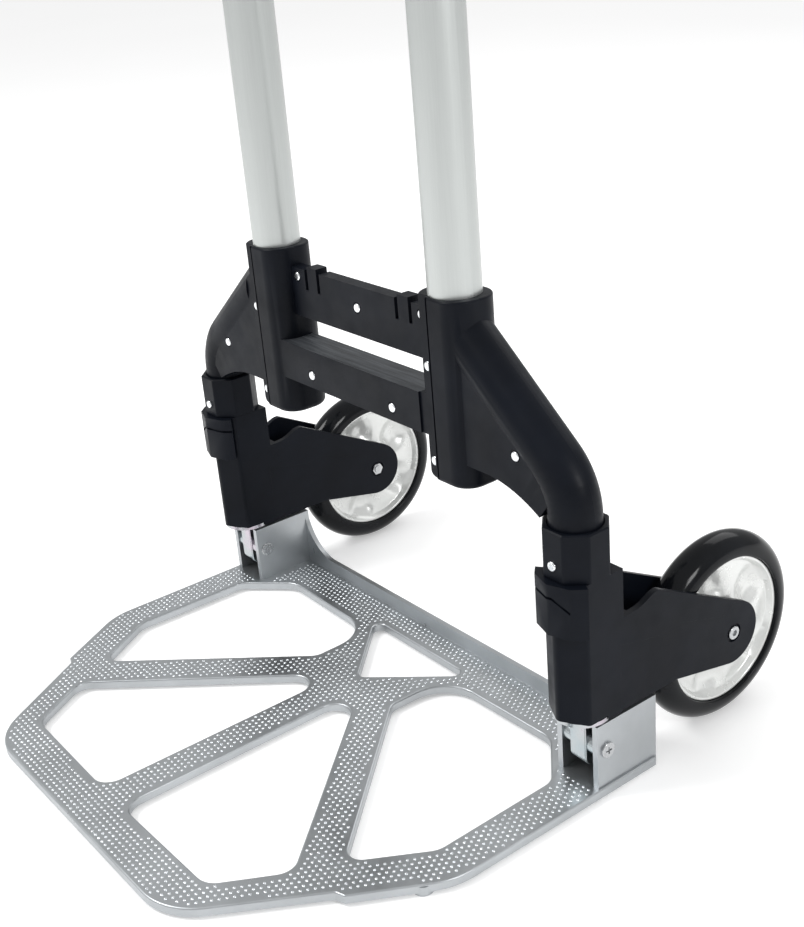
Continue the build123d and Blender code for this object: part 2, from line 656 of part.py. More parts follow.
with BuildPart() as frame:
    with BuildSketch(Plane.XY.offset(sleeve_bottom)):
        with Locations((tube_x, 0), (-tube_x, 0)):
            RectangleRounded(sleeve_width, sleeve_depth, sleeve_round)
    extrude(amount=sleeve_top - sleeve_bottom)
    fillet(faces().group_by(Axis.Z)[0].edges(), 4.0)
    fillet(faces().group_by(Axis.Z)[-1].edges(), 1.2)
    add(arm.part)
    add(flip(arm.part))
    for y_front, y_back, z_low, z_high in (
            (upper_bar_half, upper_bar_half, upper_bar_low, upper_bar_high),
            (lower_bar_front, lower_bar_back, lower_bar_low, lower_bar_high)):
        with Locations((0, (y_back - y_front) / 2, (z_low + z_high) / 2)):
            Box(2 * tube_x, y_front + y_back, z_high - z_low)
    # cord hooks: a raised lug between two slits at each end of the upper bar
    for side in SIDES:
        lug = (slit_places[0] + slit_places[1]) / 2
        with Locations((side * lug, 0, upper_bar_high)):
            Box(slit_places[1] - slit_places[0], 2 * upper_bar_half, 2 * hook_rise)
        for x in slit_places:
            with Locations((side * x, 0, upper_bar_high)):
                Box(slit_width, 4 * upper_bar_half, 2 * slit_depth, mode=Mode.SUBTRACT)
    # tube bores, the lower bar's hollow, the flat ledges with their rivets
    for side in SIDES:
        with BuildSketch(Plane.XY.offset(tube_bottom)):
            with Locations((side * tube_x, 0)):
                Circle(sleeve_bore)
        extrude(amount=sleeve_top, mode=Mode.SUBTRACT)
        for face in SIDES:
            with Locations((side * tube_x - ledge_x, face * (ledge_y + 10),
                            (sleeve_bottom + sleeve_top) / 2)):
                Box(sleeve_width / 2 - ledge_inset + 1, 20, sleeve_top - sleeve_bottom, mode=Mode.SUBTRACT)
        with Locations((side * tube_x - groove_x, -sleeve_depth / 2, (sleeve_bottom + sleeve_top) / 2)):
            Box(rib_groove, 2 * rib_groove_depth, sleeve_top - sleeve_bottom, mode=Mode.SUBTRACT)
    with Locations((0, (lower_bar_back - lower_bar_front) / 2, (lower_bar_low + lower_bar_high) / 2)):
        Box(2 * (tube_x - sleeve_width / 2 - 3), lower_bar_front + lower_bar_back - 2 * bar_wall,
            lower_bar_high - lower_bar_low - 2 * bar_wall, mode=Mode.SUBTRACT)
    with Locations(Plane.XZ):
        with Locations([(x, z) for x, z, _, _ in rivets]):
            Cylinder(rivet_radius + fit, 80, mode=Mode.SUBTRACT)
        with Locations([(side * post_x, collar_rivet_z) for side in SIDES]):
            Cylinder(rivet_radius + fit, 80, mode=Mode.SUBTRACT)
    for x, z, y_front, _ in sunk_rivets:
        with BuildSketch(Plane.XZ.offset(y_front)):
            with Locations((x, z)):
                Circle(rivet_head + rivet_sink)
        extrude(amount=2 * rivet_sink, mode=Mode.SUBTRACT)

for label, kept in (("frame_front_shell", Keep.TOP), ("frame_rear_shell", Keep.BOTTOM)):
    with BuildPart() as shell:
        add(frame.part)
        split(bisect_by=Plane.XZ, keep=kept)
    keep(shell.part, label)


def rivet_group(places):
    """Rivets along Y, each with a low domed head in front and a flat one behind."""
    solids = []
    for x, z, y_front, y_back in places:
        with BuildPart() as rivet:
            with BuildSketch(Plane.XZ.offset(-y_back)):
                with Locations((x, z)):
                    Circle(rivet_radius)
            extrude(amount=y_front + y_back)
            with BuildSketch(Plane.XZ.offset(y_front)):
                with Locations((x, z)):
                    Circle(rivet_head)
            extrude(amount=rivet_rise)
            fillet(faces().sort_by(Axis.Y)[0].edges(), rivet_rise * 0.7)
            with BuildSketch(Plane.XZ.offset(-y_back)):
                with Locations((x, z)):
                    Circle(rivet_head)
            extrude(amount=-rivet_rise * 0.6)
        solids.append(rivet.part.solid())
    return Compound(children=solids)


keep(rivet_group(rivets), "frame_rivets")
keep(rivet_group([(side * post_x, collar_rivet_z, collar_flats / 2, collar_flats / 2) for side in SIDES]),
     "collar_rivets")

# ---- main tubes ---------------------------------------------------------------------------------
tube_bore = tube_radius - tube_wall
for side, name in ((1, "right"), (-1, "left")):
    with BuildPart() as main_tube:
        with BuildSketch(Plane.XY.offset(tube_bottom)):
            with Locations((side * tube_x, 0)):
                Circle(tube_radius)
                Circle(tube_bore, mode=Mode.SUBTRACT)
        extrude(amount=tube_top - tube_bottom)
        with Locations(Plane.XZ):
            with Locations([(side * tube_x - ledge_rivet_x, z) for z in ledge_rivet_z]):
                Cylinder(rivet_radius + fit, 80, mode=Mode.SUBTRACT)
        with BuildSketch(Plane.YZ.offset(side * tube_x)):
            with Locations((0, pin_z)):
                Circle(pin_radius + 0.15)
        extrude(amount=-side * 2 * tube_radius, mode=Mode.SUBTRACT)
    keep(main_tube.part, f"{name}_main_tube")

    with BuildPart() as inner_tube:
        with BuildSketch(Plane.XY.offset(inner_bottom)):
            with Locations((side * tube_x, 0)):
                Circle(inner_radius)
                Circle(inner_radius - inner_wall, mode=Mode.SUBTRACT)
        extrude(amount=inner_top - inner_bottom)
        with Locations(Plane.XZ):
            with Locations((side * tube_x, handle_screw_z)):
                Cylinder(small_screw_radius + fit, 80, mode=Mode.SUBTRACT)
        with BuildSketch(Plane.YZ.offset(side * tube_x)):
            with Locations((0, pin_z), (0, pin_z + slide_travel)):
                Circle(pin_radius + 0.15)
        extrude(amount=-side * 2 * tube_radius, mode=Mode.SUBTRACT)
    keep(inner_tube.part, f"{name}_inner_tube")

with BuildPart() as guide:
    with BuildSketch(Plane.XY.offset(tube_top - guide_length)):
        with Locations((tube_x, 0)):
            Circle(tube_bore - fit)
            Circle(inner_radius + slide_gap, mode=Mode.SUBTRACT)
    extrude(amount=guide_length + guide_flange)
    with BuildSketch(Plane.XY.offset(tube_top)):
        with Locations((tube_x, 0)):
            Circle(tube_radius)
            Circle(inner_radius + slide_gap, mode=Mode.SUBTRACT)
    extrude(amount=guide_flange)
keep(pair(guide.part), "tube_guides")

with BuildPart() as glide:
    with BuildSketch(Plane.XY.offset(inner_bottom - 4)):
        with Locations((tube_x, 0)):
            Circle(tube_bore - slide_gap)
    extrude(amount=4)
    with BuildSketch(Plane.XY.offset(inner_bottom)):
        with Locations((tube_x, 0)):
            Circle(inner_radius - inner_wall - fit)
    extrude(amount=14)
keep(pair(glide.part), "tube_glides")

# ---- lock housing: two shells round the tops of the main tubes -----------------------------------
housing_screws = [(side * housing_screw_x, z) for side in SIDES for z in (cross_low + 7, cross_high - 6)]
with BuildPart() as housing:
    with BuildSketch(Plane.XY.offset(housing_low)):
        with Locations((tube_x, 0), (-tube_x, 0)):
            RectangleRounded(sleeve_width, sleeve_depth, sleeve_round)
    extrude(amount=housing_high - housing_low)
    fillet(faces().group_by(Axis.Z)[0].edges(), 1.5)
    fillet(faces().group_by(Axis.Z)[-1].edges(), 1.5)
    with Locations((0, 0, (cross_low + cross_high) / 2)):
        Box(2 * tube_x, 2 * housing_half, cross_high - cross_low)
    fillet(edges().filter_by(lambda e: e.length > 100 and abs(e.center().X) < 1), 4.0)
    with Locations((0, 0, (cross_low + cross_high) / 2)):
        Box(2 * (housing_screw_x - 5), 2 * (housing_half - housing_wall),
            cross_high - cross_low - 2 * housing_wall, mode=Mode.SUBTRACT)
    for side in SIDES:
        # a rib that guides each lock pin
        with Locations((side * 42, 0, (cross_low + cross_high) / 2)):
            Box(4, 2 * housing_half - 1, cross_high - cross_low - 1)
        with BuildSketch(Plane.XY.offset(housing_low - 1)):
            with Locations((side * tube_x, 0)):
                Circle(sleeve_bore)
        extrude(amount=tube_top + guide_flange + 0.3 - housing_low + 1, mode=Mode.SUBTRACT)
        with Locations((side * tube_x, 0, housing_high)):
            Cylinder(inner_radius + 0.6, 30, mode=Mode.SUBTRACT)
    with BuildSketch(Plane.YZ.offset(-tube_x)):
        with Locations((0, pin_z)):
            Circle(pin_radius + 0.1)
    extrude(amount=2 * tube_x, mode=Mode.SUBTRACT)
    with Locations((0, 0, cross_high)):
        Box(2 * button_half_width + 0.6, 2 * button_half_depth + 0.6, 3 * housing_wall, mode=Mode.SUBTRACT)
    with Locations(Plane.XZ):
        with Locations(housing_screws):
            Cylinder(small_screw_radius + fit, 80, mode=Mode.SUBTRACT)
    with BuildSketch(Plane.XZ.offset(housing_half - small_head_sink)):
        with Locations(housing_screws):
            Circle(small_head_radius + 0.2)
    extrude(amount=10, mode=Mode.SUBTRACT)

for label, kept in (("lock_housing_front", Keep.TOP), ("lock_housing_rear", Keep.BOTTOM)):
    with BuildPart() as shell:
        add(housing.part)
        split(bisect_by=Plane.XZ, keep=kept)
    keep(shell.part, label)


def screw_group(places, y_head, length):
    """Small cross-headed screws along Y, their heads facing forwards at y_head."""
    solids = []
    for x, z in places:
        with BuildPart() as screw:
            with BuildSketch(Plane.XZ.offset(y_head)):
                with Locations((x, z)):
                    Circle(small_head_radius)
            extrude(amount=1.6)
            with BuildSketch(Plane.XZ.offset(y_head + 1.6)):
                with Locations((x, z)):
                    Rectangle(3.4, 0.8)
                    Rectangle(0.8, 3.4)
            extrude(amount=-0.9, mode=Mode.SUBTRACT)
            with BuildSketch(Plane.XZ.offset(y_head)):
                with Locations((x, z)):
                    Circle(small_screw_radius)
            extrude(amount=-length)
        solids.append(screw.part.solid())
    return Compound(children=solids)


keep(screw_group(housing_screws, housing_half - small_head_sink, 2 * housing_half - small_head_sink - 1.5),
     "housing_screws")

# ---- release button with its cam pegs, return spring and the two lock pins -----------------------
button_top = cross_high + button_rise
cavity_low = cross_low + housing_wall
cavity_high = cross_high - housing_wall
web_half = peg_x + 3
web_low = peg_z - 6.5
spring_top = peg_z + 2.0
with BuildPart() as button:
    with Locations((0, 0, (button_skirt + button_top) / 2)):
        Box(2 * button_half_width, 2 * button_half_depth, button_top - button_skirt)
    fillet(faces().sort_by(Axis.Z)[-1].edges(), 2.0)
    with Locations((0, 0, (button_skirt + cavity_high) / 2 - 0.15)):
        Box(2 * button_half_width + 5, 2 * button_half_depth, cavity_high - button_skirt - 0.3)
    with Locations((0, 0, (web_low + button_skirt) / 2)):
        Box(2 * web_half, 4, button_skirt - web_low)
    with Locations((0, 0, (web_low + spring_top) / 2)):
        Box(2 * spring_radius + 4, 6, spring_top - web_low, mode=Mode.SUBTRACT)
    with Locations(Plane.XZ):
        with Locations((peg_x, peg_z, -4.0), (-peg_x, peg_z, -4.0)):
            Cylinder(peg_radius, 6.0)
keep(button.part, "release_button")

with BuildPart() as spring:
    spring_height = spring_top - cavity_low
    with BuildLine():
        coil = Helix(pitch=(spring_height - 2 * spring_wire - 0.2) / spring_turns,
                     height=spring_height - 2 * spring_wire - 0.2, radius=spring_radius - spring_wire,
                     center=(0, 0, cavity_low + spring_wire + 0.1))
    with BuildSketch(Plane(coil @ 0, z_dir=coil % 0)):
        Circle(spring_wire)
    sweep()
keep(spring.part, "button_spring")

rod_start = web_half + 5.5
slot_end = (peg_x + pin_travel, peg_z - button_travel)
with BuildPart() as lock_pin:
    with BuildSketch(Plane.YZ.offset(rod_start)):
        with Locations((0, pin_z)):
            Circle(pin_radius)
    extrude(amount=pin_tip - rod_start)
    fillet(faces().sort_by(Axis.X)[-1].edges(), 0.8)
    with Locations((rod_start + 3, 1.6, pin_z)):
        Box(6, 7.6, 15)
    with BuildSketch(Plane.XZ.offset(-5.4)):
        with BuildLine():
            Polyline((5, web_low + 0.5), (rod_start + 6, web_low + 0.5 - 4), (rod_start + 6, peg_z + 5.5),
                     (5, peg_z + 5.5), close=True)
        make_face()
    extrude(amount=2.8)
    with BuildSketch(Plane.XZ.offset(-5.5)):
        slot_centre = ((peg_x + slot_end[0]) / 2, (peg_z + slot_end[1]) / 2)
        slot_length = math.hypot(pin_travel, button_travel)
        with Locations(slot_centre):
            SlotCenterToCenter(slot_length, 2 * (peg_radius + peg_gap),
                               rotation=-math.degrees(math.atan2(button_travel, pin_travel)))
    extrude(amount=3.2, mode=Mode.SUBTRACT)
keep(lock_pin.part, "right_lock_pin")
keep(flip(lock_pin.part), "left_lock_pin")

# ---- handle: two shells on the inner tubes, with a soft grip -------------------------------------
with BuildLine(Plane.XZ) as handle_line:
    FilletPolyline((tube_x, handle_low), (tube_x, grip_z), (-tube_x, grip_z), (-tube_x, handle_low),
                   radius=handle_bend)
handle_screws = [(side * x, z) for side in SIDES
                 for x, z in ((tube_x, handle_screw_z), (handle_screw_x, grip_z))]
with BuildPart() as hollow:
    with BuildSketch(Plane.XY.offset(handle_low)):
        with Locations((tube_x, 0)):
            Circle(handle_radius - handle_wall)
    sweep(path=handle_line.line)
with BuildPart() as handle:
    with BuildSketch(Plane.XY.offset(handle_low)):
        with Locations((tube_x, 0)):
            Circle(handle_radius)
    sweep(path=handle_line.line)
    fillet(faces().sort_by(Axis.Z)[:2].edges(), 1.0)
    add(hollow.part, mode=Mode.SUBTRACT)
    for side in SIDES:
        with Locations((side * handle_screw_x, 0, grip_z)):
            Cylinder(2.5 * small_screw_radius, 2 * handle_radius - handle_wall, rotation=(90, 0, 0))
        with BuildSketch(Plane.XY.offset(handle_low - 1)):
            with Locations((side * tube_x, 0)):
                Circle(inner_radius + fit)
        extrude(amount=inner_top + 0.3 - handle_low + 1, mode=Mode.SUBTRACT)
    with Locations(Plane.XZ):
        with Locations(handle_screws):
            Cylinder(small_screw_radius + fit, 80, mode=Mode.SUBTRACT)
    with BuildSketch(Plane.XZ.offset(handle_radius - small_head_sink)):
        with Locations(handle_screws):
            Circle(small_head_radius + 0.2)
    extrude(amount=10, mode=Mode.SUBTRACT)

for label, kept in (("handle_front", Keep.TOP), ("handle_rear", Keep.BOTTOM)):
    with BuildPart() as shell:
        add(handle.part)
        split(bisect_by=Plane.XZ, keep=kept)
    keep(shell.part, label)
keep(screw_group(handle_screws, handle_radius - small_head_sink, 2 * handle_radius - small_head_sink - 2.5),
     "handle_screws")

with BuildPart() as grip:
    with BuildSketch(Plane.YZ.offset(-grip_half)):
        with Locations((0, grip_z)):
            Circle(grip_radius)
            Circle(handle_radius + grip_gap, mode=Mode.SUBTRACT)
    extrude(amount=2 * grip_half)
    fillet(edges().filter_by(GeomType.CIRCLE).group_by(SortBy.RADIUS)[-1], 1.8)
keep(grip.part, "handle_grip")
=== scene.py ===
import json
import math

import bpy
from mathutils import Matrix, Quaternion, Vector
from mathutils.bvhtree import BVHTree


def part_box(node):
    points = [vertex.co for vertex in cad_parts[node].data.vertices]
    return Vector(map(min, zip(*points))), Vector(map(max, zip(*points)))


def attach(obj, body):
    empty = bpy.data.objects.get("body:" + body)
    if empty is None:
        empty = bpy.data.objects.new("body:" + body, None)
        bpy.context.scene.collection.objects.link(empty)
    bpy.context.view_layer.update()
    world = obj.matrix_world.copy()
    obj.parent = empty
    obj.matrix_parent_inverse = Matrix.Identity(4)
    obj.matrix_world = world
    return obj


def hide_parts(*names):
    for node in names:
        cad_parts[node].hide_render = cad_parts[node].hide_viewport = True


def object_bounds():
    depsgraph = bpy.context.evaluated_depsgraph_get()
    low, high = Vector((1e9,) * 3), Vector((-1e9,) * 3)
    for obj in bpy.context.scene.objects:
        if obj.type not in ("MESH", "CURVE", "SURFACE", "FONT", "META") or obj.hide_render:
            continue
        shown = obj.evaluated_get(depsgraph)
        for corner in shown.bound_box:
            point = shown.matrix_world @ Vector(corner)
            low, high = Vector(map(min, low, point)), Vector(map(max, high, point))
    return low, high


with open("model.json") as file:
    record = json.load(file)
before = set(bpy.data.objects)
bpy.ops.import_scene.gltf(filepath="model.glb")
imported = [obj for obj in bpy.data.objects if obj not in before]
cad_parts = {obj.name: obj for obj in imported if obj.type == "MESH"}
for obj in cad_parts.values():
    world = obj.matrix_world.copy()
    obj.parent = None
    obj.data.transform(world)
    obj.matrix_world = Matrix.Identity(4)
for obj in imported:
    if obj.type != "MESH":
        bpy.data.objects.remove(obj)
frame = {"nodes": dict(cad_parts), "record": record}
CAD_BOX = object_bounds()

bl_info = {
    "name": "Folding hand truck looks",
    "version": (1, 0, 0),
    "blender": (4, 5, 0),
    "location": "3D View > Sidebar > Hand truck",
    "description": "Finishes, moulded details and stage for a folding hand truck",
    "category": "Object",
}

MM = 0.001
SIDES = ("right", "left")
CAD_MERGE = 0.004 * MM              # corners of a CAD mesh that are nearer than this are one
SEAT_GAP = 0.05 * MM                # play between a turned piece and what it sits on
NOISE_LOW, NOISE_HIGH = 0.3, 0.7    # most of a noise's values lie between these
SLIM_EDGE, FINE_EDGE = 0.6, 0.5     # shares of the moulded rounding that slighter pieces get
SHELF_HEIGHT = 224.0 * MM           # top of the lower bar's shelf, above the floor
SHELF_HALF = 66 * MM                # half of its length, between the sleeves
SELECT_MODES = {
    "vertices": (True, False, False),
    "edges": (False, True, False),
    "polygons": (False, False, True),
}


def entry(entries, key, name):
    """The entry with a given name in one of the record's lists."""
    for candidate in entries:
        if candidate[key] == name:
            return candidate
    raise ValueError(f"the record has no {key} {name}")


def record_colour(slot):
    """The colour that the record gives a material slot."""
    return entry(frame["record"]["materials"], "slot", slot)["base_color"][:3]


def colour(label, about, default):
    """A colour that a user can change."""
    return bpy.props.FloatVectorProperty(
        name=label, description=about, default=default, size=3, min=0.0, max=1.0, subtype="COLOR")


def length(label, about, default):
    """A length that a user can change, in metres."""
    return bpy.props.FloatProperty(
        name=label, description=about, default=default, min=0.0, unit="LENGTH", subtype="DISTANCE",
        precision=5)


def strength(label, about, default, unit="NONE"):
    """A strength or power that a user can change."""
    return bpy.props.FloatProperty(name=label, description=about, default=default, min=0.0, unit=unit)


def angle(label, about, degrees):
    """An angle that a user can change, given in degrees."""
    return bpy.props.FloatProperty(
        name=label, description=about, default=math.radians(degrees), subtype="ANGLE", unit="ROTATION")


class TruckFinishes(bpy.types.PropertyGroup):
    """Colours of the truck's materials."""
    plate: colour("Toe plate", "Cast aluminium of the toe plate", (0.43, 0.45, 0.465))
    tube: colour("Tubes", "Satin aluminium of the tubes", (0.50, 0.52, 0.51))
    plastic: colour("Plastic", "Charcoal plastic of frame and brackets", (0.0040, 0.0052, 0.0085))
    scuff: colour("Scuffs", "Rubbed plastic on the lower bar's shelf", (0.085, 0.092, 0.100))
    tyre: colour("Tyre", "Glossy tyre", (0.0035, 0.004, 0.005))
    hub: colour("Hub", "Silver-white hub", (0.74, 0.75, 0.735))
    zinc: colour("Zinc", "Plated foot between the ears", (0.44, 0.465, 0.475))
    steel: colour("Steel", "Bright screws, bolts and posts", (0.50, 0.51, 0.52))
    dark_steel: colour("Dark steel", "Blackened small screws", record_colour("dark_steel"))
    rivet: colour("Rivets", "Polished rivet heads", (0.86, 0.88, 0.90))
    nylon: colour("Nylon", "Washers, bushes and guides", record_colour("nylon"))
    button: colour("Button", "Release button", record_colour("button_plastic"))
    rubber: colour("Grip", "Soft sleeve of the handle", record_colour("grip_rubber"))


class TruckSizes(bpy.types.PropertyGroup):
    """Sizes of the details that are modelled here."""
    stud_pitch: length("Stud pitch", "Distance between the plate's studs", 4.1 * MM)
    stud_radius: length("Stud radius", "Radius of a stud at its foot", 1.0 * MM)
    stud_height: length("Stud height", "Height of a stud above the plate", 0.55 * MM)
    ear_clear: length("Clear by ears", "Smooth band left beside the ears", 6.0 * MM)
    stud_margin: length("Stud margin", "Smooth band left along the plate's edges", 2.3 * MM)
    plastic_edge: length("Plastic edge", "Rounding of moulded edges", 0.9 * MM)
    crisp_edge: length("Crisp edge", "Rounding of the brackets' panels and grooves", 0.35 * MM)
    metal_edge: length("Metal edge", "Rounding of cast edges", 0.7 * MM)
    rim_lip: length("Rim lip", "Width of the flat ring round the hub", 1.8 * MM)
    rim_step: length("Rim step", "Depth of the step inside that ring", 4.2 * MM)
    web_rise: length("Web rise", "How far the spokes climb from the rim to the boss", 2.6 * MM)
    pocket_depth: length("Pocket depth", "Depth of the hollows between the spokes", 5.2 * MM)
    pocket_reach: length("Pocket reach", "How far a hollow's slope runs", 10.0 * MM)
    grip_rib: length("Grip rib", "Distance between the grip's ribs", 4.0 * MM)
    grip_groove: length("Grip groove", "Depth of the grooves between the ribs", 0.7 * MM)


class TruckStage(bpy.types.PropertyGroup):
    """Floor, lights and camera."""
    floor: colour("Floor", "Pale floor", (0.90, 0.90, 0.90))
    world: strength("Surroundings", "Strength of the even light from all round", 0.72)
    glow: strength("Floor glow", "Light that the white floor gives by itself", 0.27)
    key: strength("Key light", "Power of the large light above and in front", 34.0, "POWER")
    fill: strength("Fill lights", "Power of each light beside and behind the truck", 12.0, "POWER")
    lens: bpy.props.FloatProperty(
        name="Lens", description="Focal length on a 36 mm sensor, in millimetres", default=53.49, min=1.0)
    place: bpy.props.FloatVectorProperty(
        name="Camera place", description="Where the camera stands", default=(0.66106, -0.42724, 0.50678),
        size=3, subtype="TRANSLATION", unit="LENGTH")
    heading: angle("Heading", "Turn of the view from the front to the truck's side", 53.98)
    pitch: angle("Pitch", "How far the camera looks down", 23.79)
    roll: angle("Roll", "Tilt of the camera about its own axis", -5.0)


# ---- materials ------------------------------------------------------------------------------------

def material(name, base, rough, metal=0.0, **inputs):
    """A new Principled material and its shader."""
    made = bpy.data.materials.new(name)
    made.use_nodes = True
    shader = made.node_tree.nodes["Principled BSDF"]
    shader.inputs["Base Color"].default_value = (*base, 1.0)
    shader.inputs["Roughness"].default_value = rough
    shader.inputs["Metallic"].default_value = metal
    for socket, value in inputs.items():
        shader.inputs[socket.replace("_", " ")].default_value = value
    return made


def noise(made, scale, detail=4.0, stretch=(1.0, 1.0, 1.0), rough=0.55):
    """Object-space noise; returns its value socket."""
    nodes, links = made.node_tree.nodes, made.node_tree.links
    place = nodes.new("ShaderNodeTexCoord")
    mapping = nodes.new("ShaderNodeMapping")
    texture = nodes.new("ShaderNodeTexNoise")
    mapping.inputs["Scale"].default_value = stretch
    texture.inputs["Scale"].default_value = scale
    texture.inputs["Detail"].default_value = detail
    texture.inputs["Roughness"].default_value = rough
    links.new(place.outputs["Object"], mapping.inputs["Vector"])
    links.new(mapping.outputs["Vector"], texture.inputs["Vector"])
    return texture.outputs["Fac"]


def blend_colour(made, value, low, high, start=0.35, end=0.65):
    """Base colour that runs from low to high as a value rises."""
    nodes, links = made.node_tree.nodes, made.node_tree.links
    ramp = nodes.new("ShaderNodeValToRGB")
    ramp.color_ramp.elements[0].position = start
    ramp.color_ramp.elements[0].color = (*low, 1.0)
    ramp.color_ramp.elements[1].position = end
    ramp.color_ramp.elements[1].color = (*high, 1.0)
    links.new(value, ramp.inputs["Fac"])
    links.new(ramp.outputs["Color"], nodes["Principled BSDF"].inputs["Base Color"])
    return ramp


def vary_rough(made, value, low, high):
    """Roughness that runs from low to high as a value rises."""
    nodes, links = made.node_tree.nodes, made.node_tree.links
    ranged = nodes.new("ShaderNodeMapRange")
    ranged.inputs["From Min"].default_value = NOISE_LOW
    ranged.inputs["From Max"].default_value = NOISE_HIGH
    ranged.inputs["To Min"].default_value = low
    ranged.inputs["To Max"].default_value = high
    links.new(value, ranged.inputs["Value"])
    links.new(ranged.outputs["Result"], nodes["Principled BSDF"].inputs["Roughness"])


def bump(made, value, distance, strength=1.0):
    """Surface relief from a value; distance is its depth in metres."""
    nodes, links = made.node_tree.nodes, made.node_tree.links
    relief = nodes.new("ShaderNodeBump")
    relief.inputs["Distance"].default_value = distance
    relief.inputs["Strength"].default_value = strength
    links.new(value, relief.inputs["Height"])
    links.new(relief.outputs["Normal"], nodes["Principled BSDF"].inputs["Normal"])


def shade(base, factor):
    """A colour made lighter or darker."""
    return tuple(min(1.0, channel * factor) for channel in base)


def cast_aluminium(look):
    """Blasted and lacquered casting: fine grain, faint cloudy patches."""
    made = material("cast_aluminium", look.plate, 0.34, metal=0.9)
    clouds = noise(made, 14.0, detail=5.0)
    blend_colour(made, clouds, shade(look.plate, 0.84), shade(look.plate, 1.08), 0.30, 0.70)
    vary_rough(made, noise(made, 60.0), 0.27, 0.42)
    bump(made, noise(made, 900.0, detail=2.0), 0.05 * MM, 0.35)
    return made


def stud_aluminium(look):
    """The plate's raised studs, painted brighter than the plate to stand in for their highlights."""
    # Painted highlight: the studs take the plate's own colour made 1.6 to 2 times brighter, in patches.
    made = material("stud_aluminium", shade(look.plate, 1.8), 0.24, metal=0.9)
    highlight_patches = noise(made, 45.0, detail=3.0)
    blend_colour(made, highlight_patches, shade(look.plate, 1.6), shade(look.plate, 2.0))
    vary_rough(made, noise(made, 300.0), 0.18, 0.32)
    return made


def tube_aluminium(look):
    """Satin anodised tube with lines drawn along its length."""
    made = material("tube_aluminium", look.tube, 0.36, metal=0.82)
    lines = noise(made, 1600.0, detail=3.0, stretch=(1.0, 1.0, 0.012))
    blend_colour(made, lines, shade(look.tube, 0.98), shade(look.tube, 1.02))
    vary_rough(made, lines, 0.34, 0.40)
    bump(made, lines, 0.01 * MM, 0.12)
    return made


def moulded_plastic(name, base, rough, grain=1300.0, depth=0.04 * MM):
    """Charcoal plastic with a fine spark-eroded grain and faint handling marks."""
    made = material(name, base, rough, Specular_IOR_Level=0.10)
    patches = noise(made, 22.0, detail=5.0)
    blend_colour(made, patches, shade(base, 0.82), shade(base, 1.25))
    vary_rough(made, noise(made, 75.0, detail=6.0), rough - 0.06, rough + 0.08)
    bump(made, noise(made, grain, detail=2.0), depth, 0.4)
    return made


def scuffed_plastic(look):
    """The lower bar's shelf, rubbed along its length by straps."""
    made = material("scuffed_plastic", look.scuff, 0.55, Specular_IOR_Level=0.3)
    streaks = noise(made, 420.0, detail=6.0, stretch=(0.05, 1.0, 1.0), rough=0.7)
    blend_colour(made, streaks, look.plastic, look.scuff, 0.34, 0.68)
    vary_rough(made, streaks, 0.42, 0.64)
    bump(made, streaks, 0.10 * MM, 0.6)
    return made


def glossy_tyre(look):
    """Polished polyurethane tyre with faint moulding waves."""
    made = material("glossy_tyre", look.tyre, 0.07, Specular_IOR_Level=0.16)
    haze = noise(made, 35.0, detail=4.0)
    blend_colour(made, haze, look.tyre, shade(look.tyre, 1.8))
    vary_rough(made, haze, 0.07, 0.16)
    bump(made, noise(made, 70.0, detail=1.0), 0.05 * MM, 0.2)
    return made


def silver_hub(look):
    """Silver-white hub with a pearl flake."""
    made = material("silver_hub", look.hub, 0.30, metal=0.4, Coat_Weight=0.3, Coat_Roughness=0.08)
    flake = noise(made, 2400.0, detail=1.0)
    blend_colour(made, flake, shade(look.hub, 0.93), shade(look.hub, 1.05))
    vary_rough(made, noise(made, 90.0), 0.18, 0.30)
    bump(made, noise(made, 110.0, detail=1.0), 0.02 * MM, 0.15)
    return made


def zinc_plate(look):
    """Zinc plating with its faint pink and blue bloom."""
    made = material("zinc_plate", look.zinc, 0.20, metal=1.0)
    bloom = noise(made, 55.0, detail=2.0)
    blue, pink = (0.40, 0.45, 0.47), (0.52, 0.46, 0.52)
    ramp = blend_colour(made, bloom, blue, pink, 0.34, 0.70)
    middle = ramp.color_ramp.elements.new(0.5)
    middle.color = (*look.zinc, 1.0)
    vary_rough(made, noise(made, 200.0), 0.14, 0.28)
    bump(made, noise(made, 700.0, detail=2.0), 0.02 * MM, 0.3)
    return made


def turned_metal(name, base, rough_low, rough_high, grain=1000.0):
    """Turned or headed metal with fine tool marks."""
    made = material(name, base, rough_low, metal=1.0)
    marks = noise(made, grain, detail=3.0)
    blend_colour(made, noise(made, 120.0), shade(base, 0.86), shade(base, 1.08))
    vary_rough(made, marks, rough_low, rough_high)
    bump(made, marks, 0.02 * MM, 0.3)
    return made


def nylon(look):
    """Natural nylon, a little uneven in tone."""
    made = material("nylon", look.nylon, 0.42, Subsurface_Weight=0.05)
    blend_colour(made, noise(made, 60.0), shade(look.nylon, 0.92), shade(look.nylon, 1.04))
    vary_rough(made, noise(made, 300.0), 0.36, 0.5)
    return made


def grip_rubber(look):
    """Matt thermoplastic rubber with a stippled skin."""
    made = material("grip_rubber", look.rubber, 0.72)
    blend_colour(made, noise(made, 30.0), shade(look.rubber, 0.8), shade(look.rubber, 1.3))
    vary_rough(made, noise(made, 200.0), 0.62, 0.82)
    bump(made, noise(made, 1800.0, detail=1.0), 0.08 * MM, 0.6)
    return made


